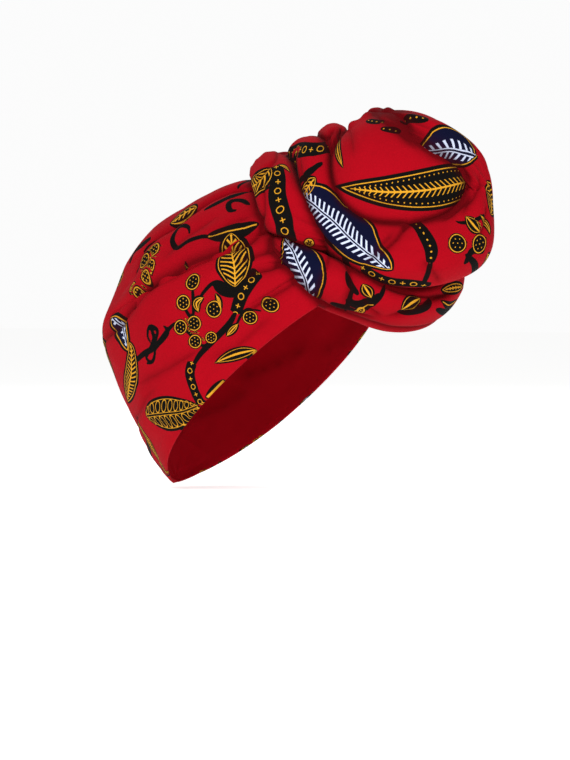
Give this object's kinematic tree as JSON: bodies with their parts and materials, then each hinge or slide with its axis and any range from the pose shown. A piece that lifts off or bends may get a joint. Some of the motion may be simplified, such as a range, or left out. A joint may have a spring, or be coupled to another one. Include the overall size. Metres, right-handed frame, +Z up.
{
  "type": "pre-tied turban",
  "caption": "Pre-tied turban of printed cotton: a stretched cap with long folds and a large wound knot fixed over the forehead, ready to pull on.",
  "frame": {"origin": "the highest point of the crown's inner face, where the cap sits on the head", "axes": "+Z up as worn, the face toward -Y, the wearer's left toward +X"},
  "size_m": [0.1559, 0.2655, 0.2433],
  "materials": {
    "crown_cloth": "smooth plain-weave cotton, wax-printed in black, gold, navy and white on red, matte",
    "knot_cloth": "the same printed cotton, wound and tucked, matte"
  },
  "bodies": {
    "root": {"crown": "crown_cloth", "front_coil": "knot_cloth", "top_wrap": "knot_cloth", "back_wrap": "knot_cloth", "knot_centre": "knot_cloth", "forehead_roll": "knot_cloth", "far_coil": "knot_cloth"}
  },
  "joints": []
}
